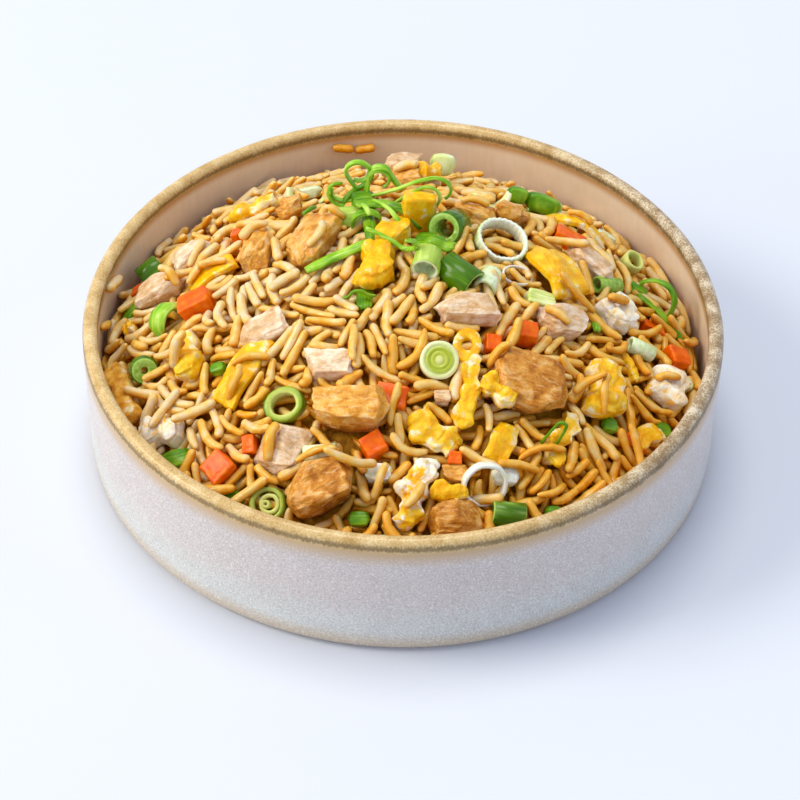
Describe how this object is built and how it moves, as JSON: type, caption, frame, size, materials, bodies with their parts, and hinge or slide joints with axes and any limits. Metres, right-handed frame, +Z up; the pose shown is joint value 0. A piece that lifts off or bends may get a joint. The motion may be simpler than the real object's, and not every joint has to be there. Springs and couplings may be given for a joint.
{
  "type": "bowl of chicken and egg fried rice",
  "caption": "Low round stoneware bowl filled to a mound with fried rice, chicken, scrambled egg, carrot, green beans and scallion curls.",
  "frame": {"origin": "centre of the bowl's flat base, on the surface that it stands on", "axes": "+Z up out of the bowl, +X to the right and -Y towards the viewer of its usual front"},
  "size_m": [0.2, 0.2, 0.0836],
  "materials": {
    "glazed_stoneware": "speckled satin glaze, tan at the lip, fading to pinkish grey and beige",
    "rice_grains": "oily cooked long-grain rice, cream to light gold",
    "scrambled_egg": "soft fried egg, yellow with pale whites",
    "carrot": "moist diced carrot",
    "bean_green": "glossy cooked green",
    "scallion_green": "fresh scallion, light green to white",
    "browned_chicken": "pan-browned chicken, fibrous and oily",
    "pale_chicken": "pale cooked chicken, fibrous"
  },
  "bodies": {
    "root": {"bean_front": "bean_green", "bean_left": "bean_green", "bean_left_back": "bean_green", "bean_top": "bean_green", "bean_top_low": "bean_green", "bowl": "glazed_stoneware", "carrot_back_right": "carrot", "carrot_centre": "carrot", "carrot_centre_front": "carrot", "carrot_front_left": "carrot", "carrot_left": "carrot", "carrot_right_mid": "carrot", "carrot_right_rim": "carrot", "chicken_back": "browned_chicken", "chicken_back_right": "browned_chicken", "chicken_centre": "browned_chicken", "chicken_cream_left": "pale_chicken", "chicken_cream_right": "pale_chicken", "chicken_finger": "pale_chicken", "chicken_flat": "pale_chicken", "chicken_front": "browned_chicken", "chicken_front_right": "browned_chicken", "chicken_left": "browned_chicken", "chicken_pale_centre": "pale_chicken", "chicken_pink_left": "pale_chicken", "chicken_right": "browned_chicken", "chicken_right_back": "pale_chicken", "chicken_slice_left": "pale_chicken", "chicken_striped": "browned_chicken", "egg_back_left": "scrambled_egg", "egg_back_right": "scrambled_egg", "egg_block": "scrambled_egg", "egg_bright_left": "scrambled_egg", "egg_centre": "scrambled_egg", "egg_cream_left": "scrambled_egg", "egg_curd_left": "scrambled_egg", "egg_curl": "scrambled_egg", "egg_front": "scrambled_egg", "egg_front_right": "scrambled_egg", "egg_front_rim": "scrambled_egg", "egg_left_rim": "scrambled_egg", "egg_right": "scrambled_egg", "egg_right_big": "scrambled_egg", "egg_right_front": "scrambled_egg", "egg_right_rim": "scrambled_egg", "egg_ring": "scrambled_egg", "egg_strip_front": "scrambled_egg", "egg_top": "scrambled_egg", "egg_white_right": "scrambled_egg", "egg_yellow_left": "scrambled_egg", "onion_band": "bean_green", "onion_half": "scallion_green", "onion_slice": "scallion_green", "rice": "rice_grains", "ring_front_left": "bean_green", "ring_green": "bean_green", "ring_large": "scallion_green", "ring_white": "scallion_green", "scallion_curl_right": "scallion_green", "scallion_curls": "scallion_green"}
  },
  "joints": []
}
